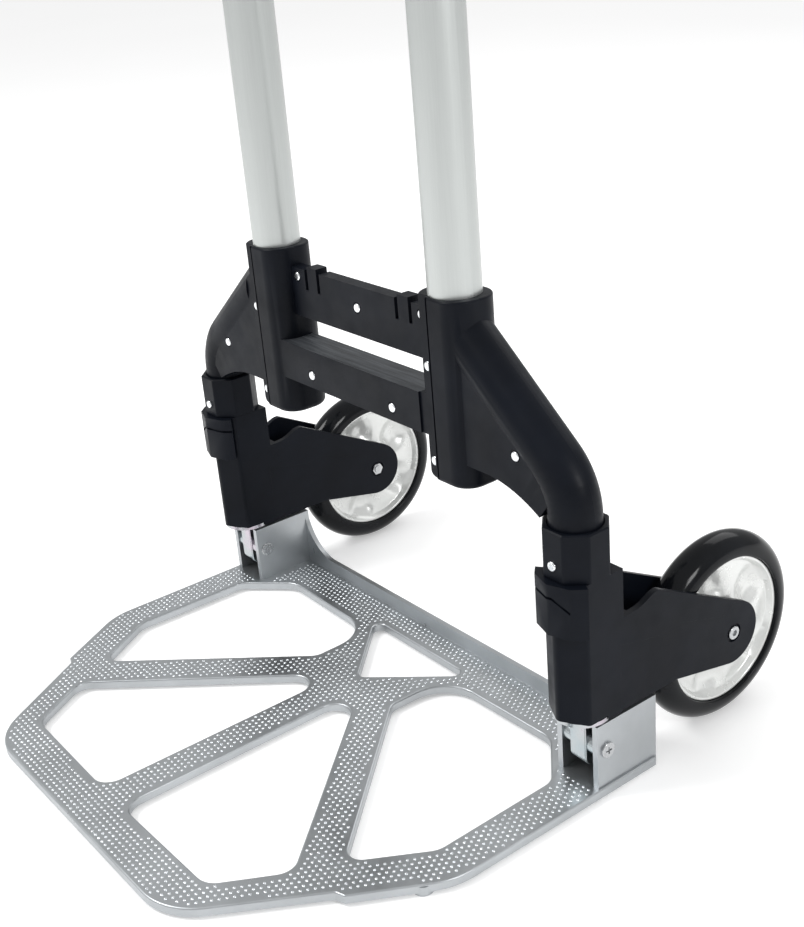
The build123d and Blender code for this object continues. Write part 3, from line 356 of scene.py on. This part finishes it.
def make_finishes(look):
    """Every material of the truck, by the name that the operators use."""
    return {
        "plate": cast_aluminium(look),
        "stud": stud_aluminium(look),
        "tube": tube_aluminium(look),
        "plastic": moulded_plastic("charcoal_plastic", look.plastic, 0.40),
        "scuff": scuffed_plastic(look),
        "tyre": glossy_tyre(look),
        "hub": silver_hub(look),
        "zinc": zinc_plate(look),
        "steel": turned_metal("bright_steel", look.steel, 0.18, 0.34),
        "dark_steel": turned_metal("dark_steel", look.dark_steel, 0.32, 0.48),
        "rivet": turned_metal("polished_rivet", look.rivet, 0.12, 0.24),
        "nylon": nylon(look),
        "button": moulded_plastic("button_plastic", look.button, 0.36),
        "rubber": grip_rubber(look),
    }


def finish(name):
    """A finish by name, made with the rest when the first is asked for."""
    held = bpy.context.window_manager.get("truck_finishes")
    if held is None:
        made = make_finishes(bpy.context.scene.truck_finishes)
        held = {key: item.name for key, item in made.items()}
        bpy.context.window_manager["truck_finishes"] = held
    return bpy.data.materials[held[name]]


# ---- modelling helpers -----------------------------------------------------------------------------

def only(piece):
    """Deselect everything, then select one piece and make it active."""
    bpy.ops.object.select_all(action="DESELECT")
    bpy.context.view_layer.objects.active = piece
    piece.select_set(True)


def pick(piece, kind, test):
    """Select the vertices, edges or polygons of a piece that pass a test, ready for edit mode."""
    for layer in SELECT_MODES:
        elements = getattr(piece.data, layer)
        elements.foreach_set("select", [False] * len(elements))
    elements = getattr(piece.data, kind)
    elements.foreach_set("select", [bool(test(element)) for element in elements])
    bpy.context.tool_settings.mesh_select_mode = SELECT_MODES[kind]


def edit(piece, *steps):
    """Run edit-mode steps on what is selected in a piece."""
    only(piece)
    bpy.ops.object.mode_set(mode="EDIT")
    for step in steps:
        step()
    bpy.ops.object.mode_set(mode="OBJECT")


def move_selected(offset):
    """An edit-mode step that extrudes what is selected by an offset."""
    return lambda: bpy.ops.mesh.extrude_region_move(TRANSFORM_OT_translate={"value": tuple(offset)})


def inset_selected(thickness, rise=0.0):
    """An edit-mode step that insets the selected faces as one region and lifts what is inside."""
    return lambda: bpy.ops.mesh.inset(thickness=thickness, depth=rise, use_boundary=True)


def settle(piece, name):
    """Give a new piece its name and put its place into its mesh."""
    only(piece)
    bpy.ops.object.transform_apply(location=True, rotation=True, scale=True)
    piece.name = name
    piece.data.name = name


def new_piece(name, add, **shape):
    """A primitive, alone in the selection, with its name and its place in its mesh."""
    bpy.ops.object.select_all(action="DESELECT")
    add(**shape)
    piece = bpy.context.object
    settle(piece, name)
    return piece


def apply_modifier(piece, kind, **settings):
    """Add a modifier and apply it."""
    only(piece)
    modifier = piece.modifiers.new(kind.title(), kind)
    for key, value in settings.items():
        setattr(modifier, key, value)
    bpy.ops.object.modifier_apply(modifier=modifier.name)


def repeat(piece, count, offset):
    """Repeat a piece in equal steps."""
    apply_modifier(piece, "ARRAY", count=count, use_relative_offset=False, use_constant_offset=True,
                   constant_offset_displace=offset)


def smooth(piece, degrees=35.0):
    """Smooth shading, kept sharp at edges steeper than an angle."""
    only(piece)
    bpy.ops.object.shade_smooth_by_angle(angle=math.radians(degrees))


def dress(piece, finish_name):
    """Give a piece one finish all over."""
    piece.data.materials.clear()
    piece.data.materials.append(finish(finish_name))


def body_of(node):
    """The record's body that a CAD node belongs to."""
    for body, members in frame["record"]["behaviour"]["bodies"].items():
        if node in members:
            return body
    raise ValueError(f"no body holds {node}")


def stand_for(piece, node):
    """Let a piece take a CAD node's place on its body, and hide the node."""
    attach(piece, body_of(node))
    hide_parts(node)


def finish_node(node, finish_name):
    """Keep a CAD node's shape and give it a finish."""
    part = frame["nodes"][node]
    for place in part.material_slots:
        place.link = "OBJECT"
        place.material = finish(finish_name)


def soft_copy(node, finish_name, width, sharp_degrees=38.0, segments=3):
    """A copy of a CAD node with its sharp edges rounded, standing for the node."""
    source = frame["nodes"][node]
    piece = bpy.data.objects.new(f"{node}_finished", source.data.copy())
    bpy.context.scene.collection.objects.link(piece)
    pick(piece, "vertices", lambda vertex: True)
    edit(piece, lambda: bpy.ops.mesh.remove_doubles(threshold=CAD_MERGE))
    apply_modifier(piece, "BEVEL", width=width, segments=segments, limit_method="ANGLE",
                   angle_limit=math.radians(sharp_degrees), use_clamp_overlap=True, harden_normals=False,
                   miter_outer="MITER_ARC")
    apply_modifier(piece, "TRIANGULATE")
    smooth(piece)
    apply_modifier(piece, "WEIGHTED_NORMAL", keep_sharp=True)
    dress(piece, finish_name)
    stand_for(piece, node)
    return piece


def turned(name, profile, centre, steps=96):
    """A solid turned about a line along X through centre; profile is (x, radius) points, closed."""
    start = centre + Vector((profile[0][0], 0.0, profile[0][1]))
    piece = new_piece(name, bpy.ops.mesh.primitive_plane_add, size=MM, location=start)
    pick(piece, "vertices", lambda vertex: vertex.index > 0)
    edit(piece, lambda: bpy.ops.mesh.delete(type="VERT"))
    piece.data.vertices[0].co = start
    steps_along = [Vector((b[0] - a[0], 0.0, b[1] - a[1])) for a, b in zip(profile, profile[1:])]
    pick(piece, "vertices", lambda vertex: True)
    edit(piece, *[move_selected(step) for step in steps_along])
    pick(piece, "vertices", lambda vertex: True)
    edit(piece,
         lambda: bpy.ops.mesh.spin(steps=steps, angle=math.tau, center=centre, axis=(1.0, 0.0, 0.0)),
         lambda: bpy.ops.mesh.select_all(action="SELECT"),
         lambda: bpy.ops.mesh.remove_doubles(threshold=0.002 * MM),
         lambda: bpy.ops.mesh.normals_make_consistent(inside=False))
    return piece


def wheel_centre(side):
    """The middle of a wheel, on its axle."""
    low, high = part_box(f"{side}_tyre")
    return (Vector(low) + Vector(high)) / 2


def off_axle(point, centre):
    """How far a point lies from a wheel's axle."""
    return math.hypot(point.y - centre.y, point.z - centre.z)


# ---- pieces ---------------------------------------------------------------------------------------

class TRUCK_OT_toe_plate(bpy.types.Operator):
    """Cast toe plate with its field of studs, hinge screws and washers"""
    bl_idname = "truck.toe_plate"
    bl_label = "Toe plate"

    def execute(self, context):
        sizes = context.scene.truck_sizes
        soft_copy("toe_plate", "plate", sizes.metal_edge)
        self.studs(sizes)
        for node in ("hinge_barrels", "hinge_screws"):
            finish_node(node, "steel")
        finish_node("hinge_washers", "zinc")
        return {"FINISHED"}

    def studs(self, sizes):
        """One dome, repeated in staggered rows, kept where the plate is flat beneath and round it."""
        low, high = (Vector(corner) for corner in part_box("toe_plate"))
        top = entry(frame["record"]["mounts"], "name", "load_face")["pos_m"][2]
        foot = top - 0.03 * MM
        bpy.ops.object.select_all(action="DESELECT")
        bpy.ops.mesh.primitive_uv_sphere_add(segments=8, ring_count=6, radius=sizes.stud_radius,
                                             location=(low.x, low.y, top))
        piece = bpy.context.object
        piece.scale.z = sizes.stud_height / sizes.stud_radius
        settle(piece, "toe_plate_studs")
        pick(piece, "polygons", lambda face: True)
        edit(piece, lambda: bpy.ops.mesh.bisect(
            plane_co=(0.0, 0.0, foot), plane_no=(0.0, 0.0, 1.0), use_fill=True, clear_inner=True))
        faces_each = len(piece.data.polygons)
        verts_each = len(piece.data.vertices)
        pitch = sizes.stud_pitch
        row_gap = pitch * math.sqrt(3.0) / 2
        repeat(piece, 2, (pitch / 2, row_gap, 0.0))
        repeat(piece, int((high.x - low.x) / pitch), (pitch, 0.0, 0.0))
        repeat(piece, int((high.y - low.y) / (2 * row_gap)), (0.0, 2 * row_gap, 0.0))
        flat = self.flat_test(top, sizes.stud_margin)
        ears_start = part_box("right_foot")[0][0] - sizes.ear_clear
        fold = entry(frame["record"]["behaviour"]["joints"], "name", "toe_plate_fold")
        channel_start = fold["pos_m"][1] - 2 * sizes.ear_clear
        vertices = piece.data.vertices
        keep = []
        for first in range(0, len(vertices), verts_each):
            dome = [vertices[first + i].co for i in range(verts_each)]
            middle = sum(dome, Vector()) / verts_each
            by_ear = abs(middle.x) > ears_start and middle.y > channel_start
            keep += [not by_ear and flat(middle)] * verts_each
        pick(piece, "vertices", lambda vertex: not keep[vertex.index])
        edit(piece, lambda: bpy.ops.mesh.delete(type="VERT"))
        if len(piece.data.polygons) % faces_each:
            raise RuntimeError("a stud was cut")
        smooth(piece, 60.0)
        dress(piece, "stud")
        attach(piece, "toe_plate")

    def flat_test(self, top, margin):
        """A test of whether the plate is flat within a margin of a point."""
        plate = frame["nodes"]["toe_plate"].data
        tree = BVHTree.FromPolygons([v.co for v in plate.vertices], [p.vertices for p in plate.polygons])
        ring = [Vector((margin * math.cos(a), margin * math.sin(a), 0.0))
                for a in (math.tau * i / 8 for i in range(8))]
        above, play = 60 * MM, 0.02 * MM
        drop = Vector((0.0, 0.0, -1.0))

        def flat(point):
            for offset in (Vector(), *ring):
                start = Vector((point.x, point.y, top + above)) + offset
                hit = tree.ray_cast(start, drop)[0]
                if hit is None or abs(hit.z - top) > play:
                    return False
            return True
        return flat


class TRUCK_OT_frame(bpy.types.Operator):
    """Riveted plastic frame with its collars"""
    bl_idname = "truck.frame"
    bl_label = "Frame"

    def execute(self, context):
        sizes = context.scene.truck_sizes
        for node in ("frame_front_shell", "frame_rear_shell"):
            piece = soft_copy(node, "plastic", sizes.plastic_edge)
            piece.data.materials.append(finish("scuff"))
            for face in piece.data.polygons:
                if self.on_shelf(face):
                    face.material_index = 1
        for side in SIDES:
            soft_copy(f"{side}_collar", "plastic", sizes.plastic_edge * SLIM_EDGE)
        for node in ("frame_rivets", "collar_rivets"):
            finish_node(node, "rivet")
        return {"FINISHED"}

    def on_shelf(self, face):
        """Whether a face lies on the lower bar's shelf."""
        play = 0.5 * MM
        between_sleeves = abs(face.center.x) < SHELF_HALF
        at_height = abs(face.center.z - SHELF_HEIGHT) < play
        return face.normal.z > 0.99 and between_sleeves and at_height


class TRUCK_OT_brackets(bpy.types.Operator):
    """Swivelling wheel brackets with their posts, feet and axle hardware"""
    bl_idname = "truck.brackets"
    bl_label = "Wheel brackets"

    def execute(self, context):
        sizes = context.scene.truck_sizes
        for side in SIDES:
            soft_copy(f"{side}_bracket", "plastic", sizes.crisp_edge)
            finish_node(f"{side}_foot", "zinc")
            finish_node(f"{side}_post", "steel")
            finish_node(f"{side}_swivel_bushes", "nylon")
            for part in ("axle_bolt", "axle_nut"):
                finish_node(f"{side}_{part}", "steel")
            finish_node(f"{side}_axle_washers", "nylon")
        return {"FINISHED"}


class TRUCK_OT_wheels(bpy.types.Operator):
    """Wheels: dished hub with broad spokes, glossy round tyre, bearing"""
    bl_idname = "truck.wheels"
    bl_label = "Wheels"

    def execute(self, context):
        sizes = context.scene.truck_sizes
        for side in SIDES:
            self.hub(side, sizes)
            self.tyre(side)
            finish_node(f"{side}_wheel_bearing", "nylon")
        return {"FINISHED"}

    def hub(self, side, sizes):
        """A drum, dished on both faces, with hollows pressed in between the spokes."""
        centre = wheel_centre(side)
        low, high = (Vector(corner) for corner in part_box(f"{side}_wheel_hub"))
        bearing_low, bearing_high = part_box(f"{side}_wheel_bearing")
        bore = (bearing_high[2] - bearing_low[2]) / 2 + SEAT_GAP
        radius = (high.z - low.z) / 2
        boss_half = (high.x - low.x) / 2
        boss_stand, boss_wall, rim_wall, edge = 3.0 * MM, 4.5 * MM, 1.8 * MM, 0.45 * MM
        half = boss_half - boss_stand
        boss = bore + boss_wall
        almost_through = boss_half * 0.98           # leaves a thin skin in the bore, deleted below
        sections, spokes, rings = 80, 5, 8
        piece = new_piece(
            f"{side}_wheel_hub_finished", bpy.ops.mesh.primitive_cylinder_add, vertices=sections,
            radius=radius, depth=2 * half, location=centre, rotation=(0.0, math.pi / 2, 0.0))
        ring_width = radius - sizes.rim_lip - rim_wall - boss
        outer_flat, web, inner_flat = ring_width * 0.06, ring_width * 0.86, ring_width * 0.08
        pocket_inner = boss + ring_width * 0.42
        pocket_outer = radius - sizes.rim_lip - ring_width * 0.30
        pocket_start, pocket_end = 0.36, 0.64       # shares of the turn from one spoke to the next
        for out in (1, -1):
            pick(piece, "polygons", lambda face: face.normal.x * out > 0.9
                 and off_axle(face.center, centre) < MM)
            edit(piece,
                 inset_selected(sizes.rim_lip),
                 inset_selected(rim_wall, -sizes.rim_step),
                 inset_selected(outer_flat),
                 *[inset_selected(web / rings, sizes.web_rise / rings)] * rings,
                 inset_selected(inner_flat),
                 move_selected((out * (boss_half - half + sizes.rim_step - sizes.web_rise), 0.0, 0.0)),
                 inset_selected(boss - bore),
                 move_selected((-out * almost_through, 0.0, 0.0)))

            def in_pocket(vertex):
                spoke_turn = math.tau / spokes
                share = math.atan2(vertex.co.z - centre.z, vertex.co.y - centre.y) % spoke_turn / spoke_turn
                on_this_face = (vertex.co.x - centre.x) * out > 2 * MM
                on_web = pocket_inner < off_axle(vertex.co, centre) < pocket_outer
                return on_this_face and on_web and pocket_start < share < pocket_end

            pick(piece, "vertices", in_pocket)
            edit(piece, lambda: bpy.ops.transform.translate(
                value=(-out * sizes.pocket_depth, 0.0, 0.0), use_proportional_edit=True,
                use_proportional_connected=True, proportional_edit_falloff="SMOOTH",
                proportional_size=sizes.pocket_reach))
        pick(piece, "polygons", lambda face: abs(face.normal.x) > 0.9
             and off_axle(face.center, centre) < 0.5 * MM)
        edit(piece, lambda: bpy.ops.mesh.delete(type="FACE"))
        pick(piece, "vertices", lambda vertex: (vertex.co - centre).length < bore + MM
             and abs(vertex.co.x - centre.x) < MM)
        edit(piece, lambda: bpy.ops.mesh.bridge_edge_loops())
        apply_modifier(piece, "BEVEL", width=edge, segments=2, limit_method="ANGLE",
                       angle_limit=math.radians(50.0), use_clamp_overlap=True)
        smooth(piece, 60.0)
        dress(piece, "hub")
        stand_for(piece, f"{side}_wheel_hub")

    def tyre(self, side):
        """A round ring, cut flat where it sits on the rim."""
        centre = wheel_centre(side)
        low, high = (Vector(corner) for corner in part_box(f"{side}_tyre"))
        hub_low, hub_high = (Vector(corner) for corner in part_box(f"{side}_wheel_hub"))
        seat = (hub_high.z - hub_low.z) / 2 + SEAT_GAP
        outside = (high.z - low.z) / 2
        thick = (high.x - low.x) / 2
        seat_edge, hair = 0.5 * MM, 0.01 * MM
        piece = new_piece(
            f"{side}_tyre_finished", bpy.ops.mesh.primitive_torus_add, major_radius=outside - thick,
            minor_radius=thick, major_segments=144, minor_segments=40, location=centre,
            rotation=(0.0, math.pi / 2, 0.0))
        pick(piece, "vertices", lambda vertex: off_axle(vertex.co, centre) < seat)
        edit(piece, lambda: bpy.ops.mesh.delete(type="VERT"))
        edges_at_seat = min(off_axle(vertex.co, centre) for vertex in piece.data.vertices) + hair
        pick(piece, "vertices", lambda vertex: off_axle(vertex.co, centre) < edges_at_seat)
        edit(piece, lambda: bpy.ops.mesh.bridge_edge_loops(),
             lambda: bpy.ops.mesh.select_all(action="SELECT"),
             lambda: bpy.ops.mesh.normals_make_consistent(inside=False))
        apply_modifier(piece, "BEVEL", width=seat_edge, segments=2, limit_method="ANGLE",
                       angle_limit=math.radians(40.0))
        smooth(piece, 45.0)
        dress(piece, "tyre")
        stand_for(piece, f"{side}_tyre")


class TRUCK_OT_tubes(bpy.types.Operator):
    """Main and inner tubes with their guides and glides"""
    bl_idname = "truck.tubes"
    bl_label = "Tubes"

    def execute(self, context):
        for side in SIDES:
            finish_node(f"{side}_main_tube", "tube")
            finish_node(f"{side}_inner_tube", "tube")
        for node in ("tube_guides", "tube_glides"):
            finish_node(node, "nylon")
        return {"FINISHED"}


class TRUCK_OT_lock(bpy.types.Operator):
    """Lock housing, release button, return spring and lock pins"""
    bl_idname = "truck.lock"
    bl_label = "Lock"

    def execute(self, context):
        sizes = context.scene.truck_sizes
        for node in ("lock_housing_front", "lock_housing_rear"):
            soft_copy(node, "plastic", sizes.plastic_edge * SLIM_EDGE)
        soft_copy("release_button", "button", sizes.plastic_edge * FINE_EDGE)
        finish_node("button_spring", "steel")
        finish_node("housing_screws", "dark_steel")
        for side in SIDES:
            finish_node(f"{side}_lock_pin", "steel")
        return {"FINISHED"}


class TRUCK_OT_handle(bpy.types.Operator):
    """Handle shells and the ribbed soft grip"""
    bl_idname = "truck.handle"
    bl_label = "Handle"

    def execute(self, context):
        sizes = context.scene.truck_sizes
        for node in ("handle_front", "handle_rear"):
            soft_copy(node, "plastic", sizes.plastic_edge * FINE_EDGE)
        finish_node("handle_screws", "dark_steel")
        self.grip(sizes)
        return {"FINISHED"}

    def grip(self, sizes):
        """A sleeve with a rounded collar at each end and grooves all along."""
        low, high = (Vector(corner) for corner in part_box("handle_grip"))
        centre = (low + high) / 2
        outside = (high.z - low.z) / 2
        half = (high.x - low.x) / 2
        play, plain_ends, chamfer = 0.1 * MM, 16 * MM, 1.2 * MM
        bore = (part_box("handle_front")[1][2] - centre.z) + play
        ribs = int((2 * half - plain_ends) / sizes.grip_rib)
        start = -ribs * sizes.grip_rib / 2
        groove = outside - sizes.grip_groove
        floor_start, floor_end, groove_end = 0.5 * MM, 1.1 * MM, 1.6 * MM
        profile = [(-half, bore), (-half, outside - chamfer), (-half + chamfer, outside)]
        for rib in range(ribs):
            x = start + rib * sizes.grip_rib
            profile += [(x, outside), (x + floor_start, groove), (x + floor_end, groove),
                        (x + groove_end, outside)]
        profile += [(half - chamfer, outside), (half, outside - chamfer), (half, bore), (-half, bore)]
        piece = turned("handle_grip_finished", profile, centre)
        smooth(piece, 40.0)
        dress(piece, "rubber")
        stand_for(piece, "handle_grip")


class TRUCK_OT_stage(bpy.types.Operator):
    """Pale floor, soft lights and the camera"""
    bl_idname = "truck.stage"
    bl_label = "Stage"

    def execute(self, context):
        stage = context.scene.truck_stage
        context.scene.view_settings.view_transform = "Standard"
        self.floor(stage)
        self.world(stage)
        self.lights(stage)
        self.camera(stage)
        return {"FINISHED"}

    def floor(self, stage):
        """A wide white sheet just under the truck."""
        breadth, drop = 40.0, 0.0002
        floor = new_piece("floor", bpy.ops.mesh.primitive_plane_add, size=breadth,
                          location=(0.0, 0.0, CAD_BOX[0][2] - drop))
        paper = material("floor_paper", stage.floor, 0.9, Specular_IOR_Level=0.0,
                         Emission_Strength=stage.glow, Emission_Color=(1.0, 1.0, 1.0, 1.0))
        blend_colour(paper, noise(paper, 2.0), shade(stage.floor, 0.99), stage.floor)
        floor.data.materials.append(paper)

    def world(self, stage):
        """An even white surround, a little darker towards the horizon."""
        horizon, overhead, overhead_from = (0.80, 0.81, 0.82), (1.0, 1.0, 1.0), 0.55
        world = bpy.data.worlds.new("studio")
        bpy.context.scene.world = world
        world.use_nodes = True
        nodes, links = world.node_tree.nodes, world.node_tree.links
        nodes["Background"].inputs["Strength"].default_value = stage.world
        place = nodes.new("ShaderNodeTexCoord")
        split = nodes.new("ShaderNodeSeparateXYZ")
        ramp = nodes.new("ShaderNodeValToRGB")
        ramp.color_ramp.elements[0].position = 0.0
        ramp.color_ramp.elements[0].color = (*horizon, 1.0)
        ramp.color_ramp.elements[1].position = overhead_from
        ramp.color_ramp.elements[1].color = (*overhead, 1.0)
        links.new(place.outputs["Generated"], split.inputs["Vector"])
        links.new(split.outputs["Z"], ramp.inputs["Fac"])
        links.new(ramp.outputs["Color"], nodes["Background"].inputs["Color"])

    def lights(self, stage):
        """Three soft square lights, turned to the truck's lower half."""
        middle = Vector((0.0, 0.0, 0.25))
        for name, place, size, power in (
                ("key_light", Vector((-0.9, -1.3, 2.0)), 0.9, stage.key),
                ("fill_light", Vector((1.9, 0.2, 1.1)), 0.5, stage.fill),
                ("back_light", Vector((-0.3, 1.8, 1.7)), 1.4, stage.fill)):
            light = bpy.data.lights.new(name, "AREA")
            light.shape = "SQUARE"
            light.size = size
            light.energy = power
            lamp = bpy.data.objects.new(name, light)
            bpy.context.scene.collection.objects.link(lamp)
            lamp.location = place
            lamp.rotation_mode = "QUATERNION"
            lamp.rotation_quaternion = (middle - place).to_track_quat("-Z", "Y")

    def camera(self, stage):
        """The camera, from its place, heading, pitch and roll."""
        data = bpy.data.cameras.new("camera")
        data.lens = stage.lens
        data.sensor_width = 36.0
        data.clip_start = 0.02
        camera = bpy.data.objects.new("camera", data)
        bpy.context.scene.collection.objects.link(camera)
        level = math.cos(stage.pitch)
        look = Vector((-math.sin(stage.heading) * level, math.cos(stage.heading) * level,
                       -math.sin(stage.pitch)))
        camera.location = stage.place
        camera.rotation_mode = "QUATERNION"
        camera.rotation_quaternion = look.to_track_quat("-Z", "Y") @ Quaternion((0.0, 0.0, 1.0), stage.roll)
        bpy.context.scene.camera = camera


# ---- add-on ----------------------------------------------------------------------------------------

PIECES = (TRUCK_OT_toe_plate, TRUCK_OT_frame, TRUCK_OT_brackets, TRUCK_OT_wheels, TRUCK_OT_tubes,
          TRUCK_OT_lock, TRUCK_OT_handle, TRUCK_OT_stage)


class TRUCK_PT_panel(bpy.types.Panel):
    """Buttons for the truck's pieces and its stage"""
    bl_idname = "TRUCK_PT_panel"
    bl_label = "Folding hand truck"
    bl_space_type = "VIEW_3D"
    bl_region_type = "UI"
    bl_category = "Hand truck"

    def draw(self, context):
        for piece in PIECES:
            self.layout.operator(piece.bl_idname)
        for group in (context.scene.truck_sizes, context.scene.truck_finishes, context.scene.truck_stage):
            for name in group.__annotations__:
                self.layout.prop(group, name)


GROUPS = {"truck_finishes": TruckFinishes, "truck_sizes": TruckSizes, "truck_stage": TruckStage}


def register():
    """Register the classes and give the scene its groups of settings."""
    for made in (*GROUPS.values(), *PIECES, TRUCK_PT_panel):
        bpy.utils.register_class(made)
    for name, group in GROUPS.items():
        setattr(bpy.types.Scene, name, bpy.props.PointerProperty(type=group))


def unregister():
    """Take away all that register added."""
    for name in GROUPS:
        delattr(bpy.types.Scene, name)
    for made in reversed((*GROUPS.values(), *PIECES, TRUCK_PT_panel)):
        bpy.utils.unregister_class(made)


def main():
    """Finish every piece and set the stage."""
    register()
    bpy.ops.truck.toe_plate()
    bpy.ops.truck.frame()
    bpy.ops.truck.brackets()
    bpy.ops.truck.wheels()
    bpy.ops.truck.tubes()
    bpy.ops.truck.lock()
    bpy.ops.truck.handle()
    bpy.ops.truck.stage()


if __name__ == "__main__":
    main()
